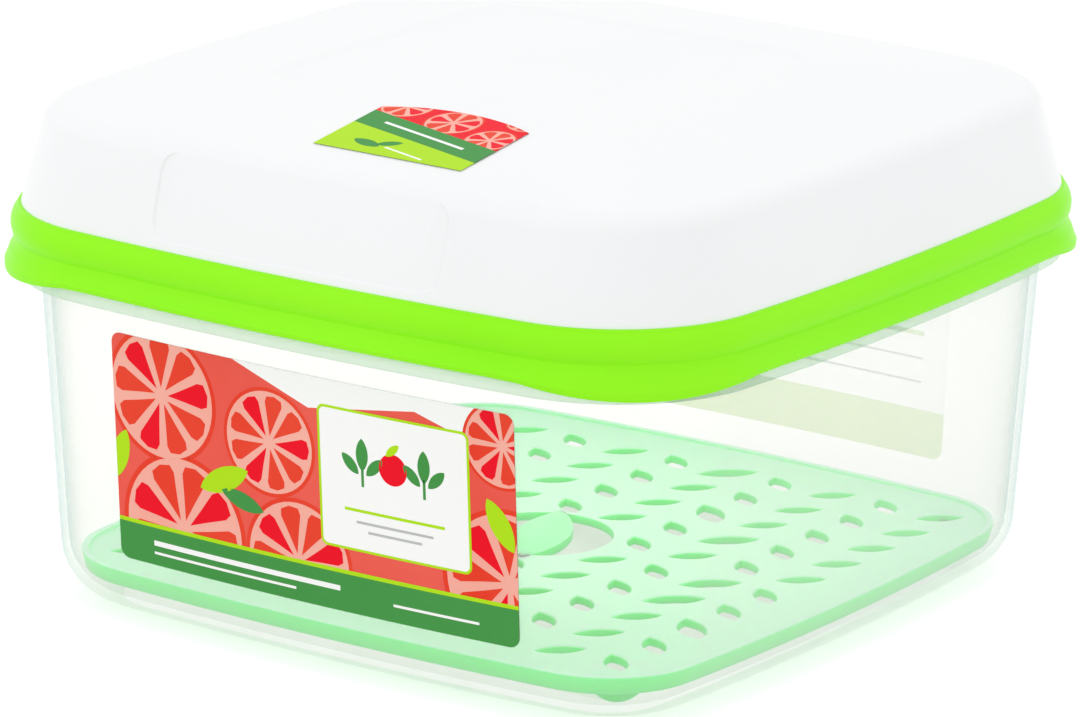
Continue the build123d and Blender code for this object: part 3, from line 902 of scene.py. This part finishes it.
lidLayers = [(1, "red", slantedBar(-30, 3, 60, 30))]
for x, y, radius in ((-14, 12.5, 6.4), (1, 8.5, 6.8), (14.5, 3.0, 6.0), (16.5, 15.5, 5.5)):
    lidLayers += citrusWheel(lx + x, ly + y, radius, 20, 2, 7)
lidLayers += [
    (5, "lime", slantedBar(-30, -40, 60, 40)),
    (6, "green", slantedBar(-30, -4.5, 60, 7.5)),
    (7, "white", slantedBar(-13, -1.2, 26, 0.9)),
    (6, "green", leafShape(lx - 9, ly - 9.5, 8, 3.2, -14)),
    (6, "green", leafShape(lx - 4, ly - 8.0, 6, 2.6, 30)),
    (6, "white", slantedBar(-1, -11.0, 12, 0.6)),
]
lidLabelPiece = printedLabel("lid_label_print", onCrown, lidBase, lidLayers)
dress(lidLabelPiece, "lid", "lid_print", "lid_label")
print("labels built")


view = {
    "place": (0.824628, -1.183345, 0.463512),
    "right": (0.817904, 0.575210, 0.012887),
    "up": (-0.167996, 0.217335, 0.961531),
    "forward": (-0.550282, 0.788606, -0.274392),
    "focalPixels": 6634.75,
    "imageWidth": 1080,
    "sensorWidth": 36,
}
camera = bpy.data.objects.new("camera", bpy.data.cameras.new("camera"))
bpy.context.collection.objects.link(camera)
right, up, forward = (Vector(view[key]) for key in ("right", "up", "forward"))
turn = Matrix((right, up, -forward)).transposed().to_4x4()
camera.matrix_world = Matrix.Translation(view["place"]) @ turn
camera.data.sensor_width = view["sensorWidth"]
camera.data.sensor_fit = "HORIZONTAL"
camera.data.lens = view["focalPixels"] / view["imageWidth"] * view["sensorWidth"]
camera.data.clip_start, camera.data.clip_end = 0.05, 20
bpy.context.scene.camera = camera

light = {
    "world": 0.97,
    "floor": {"size": 8, "shade": 0.50, "glow": 0.35, "seenGlow": 0.30},
    "lamps": [  # name, place, size, power
        ("keyLamp", (-0.7, -1.1, 0.9), 0.9, 2.4),
        ("sideLamp", (1.3, -0.2, 0.8), 0.9, 0.8),
        ("backLamp", (0.1, 1.2, 0.8), 0.9, 1.6),
        ("insideLamp", (0, 0, 0.112), 0.14, 0.09),
    ],
}
for name, place, size, power in light["lamps"]:
    lamp = bpy.data.objects.new(name, bpy.data.lights.new(name, "AREA"))
    lamp.data.size, lamp.data.energy = size, power
    lamp.visible_camera = lamp.visible_glossy = lamp.visible_transmission = False
    bpy.context.collection.objects.link(lamp)
    lamp.matrix_world = Matrix.Translation(place) @ (-Vector(place)).to_track_quat("-Z", "Y").to_matrix().to_4x4()


# white to the eye, in gloss and through glass; a plain soft light to everything else
def seenWhite(nodes, links):
    path = nodes.new("ShaderNodeLightPath")
    seen = path.outputs["Is Camera Ray"]
    for other in ("Is Glossy Ray", "Is Transmission Ray"):
        either = nodes.new("ShaderNodeMath")
        either.operation = "MAXIMUM"
        links.new(seen, either.inputs[0])
        links.new(path.outputs[other], either.inputs[1])
        seen = either.outputs[0]
    return seen


world = bpy.data.worlds.new("studio")
bpy.context.scene.world = world
world.use_nodes = True
worldNodes, worldLinks = world.node_tree.nodes, world.node_tree.links
background = worldNodes["Background"]
seen = seenWhite(worldNodes, worldLinks)
strength = worldNodes.new("ShaderNodeMix")
strength.data_type = "FLOAT"
strength.inputs["A"].default_value = light["world"]
strength.inputs["B"].default_value = 1.0
worldLinks.new(seen, strength.inputs["Factor"])
worldLinks.new(strength.outputs["Result"], background.inputs["Strength"])
background.inputs["Color"].default_value = (1, 1, 1, 1)

deselectAll()
bpy.ops.mesh.primitive_plane_add(size=light["floor"]["size"])
floor = bpy.context.object
floor.name = "floor"
floorMaterial, floorNodes, floorLinks, floorShader = newMaterial("paleFloor")
shade = light["floor"]["shade"]
setShader(floorShader, color=(shade, shade, shade, 1), rough=0.9, shine=0.0)
floorShader.inputs["Emission Color"].default_value = (1, 1, 1, 1)
floorSeen = seenWhite(floorNodes, floorLinks)
glow = floorNodes.new("ShaderNodeMath")  # a light table: no brighter than white paper, so shadows stay soft
glow.operation = "MULTIPLY_ADD"
glow.inputs[1].default_value = light["floor"]["seenGlow"]
glow.inputs[2].default_value = light["floor"]["glow"]
floorLinks.new(floorSeen, glow.inputs[0])
floorLinks.new(glow.outputs[0], floorShader.inputs["Emission Strength"])
floor.data.materials.append(floorMaterial)
bpy.context.scene.view_settings.view_transform = "Standard"
print("studio ready")
